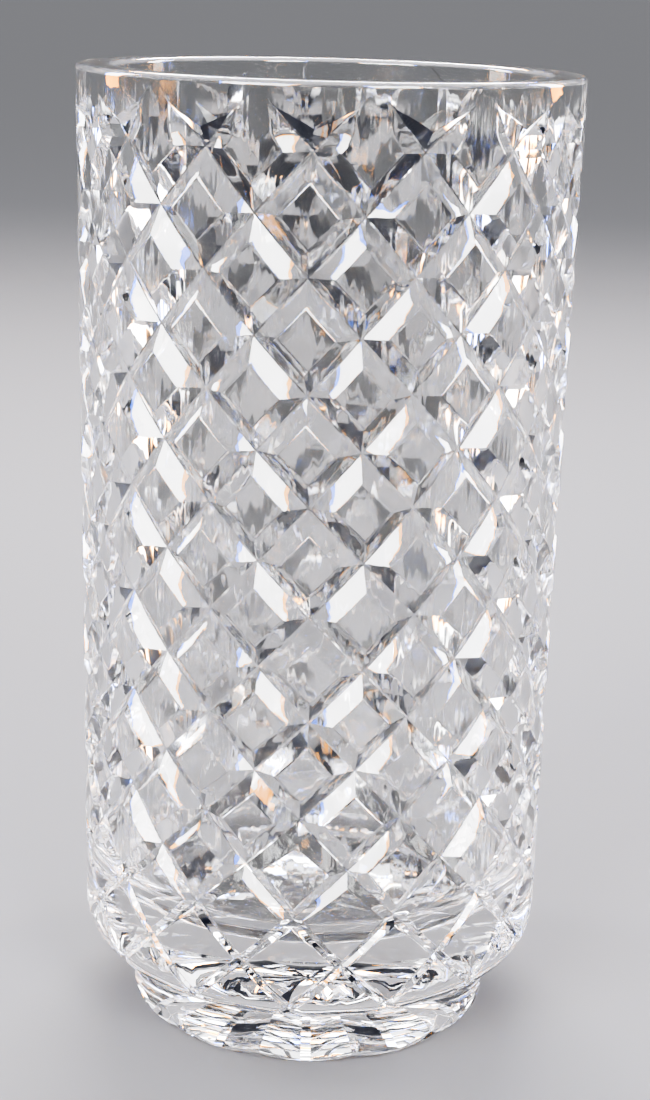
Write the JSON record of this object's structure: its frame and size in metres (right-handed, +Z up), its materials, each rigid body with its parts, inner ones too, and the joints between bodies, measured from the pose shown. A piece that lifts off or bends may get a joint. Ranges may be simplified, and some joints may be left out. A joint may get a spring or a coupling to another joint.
{
  "type": "vase",
  "caption": "Tall heavy cut crystal vase: a nearly straight cylinder covered in flat-topped diamonds, with a plain rim band, a rounded shoulder and a short foot with a star-cut base.",
  "frame": {"origin": "centre of the ring it stands on, on the vase's axis", "axes": "+Z up along the vase's axis; -Y is the front, 2.8 degrees round from a column of groove crossings"},
  "size_m": [0.127, 0.127, 0.2507],
  "materials": {
    "body_crystal": "polished clear lead crystal, cut with flat-topped diamonds",
    "foot_crystal": "polished clear lead crystal, star cut underneath"
  },
  "bodies": {
    "root": {"vase_body": "body_crystal", "foot": "foot_crystal"}
  },
  "joints": []
}
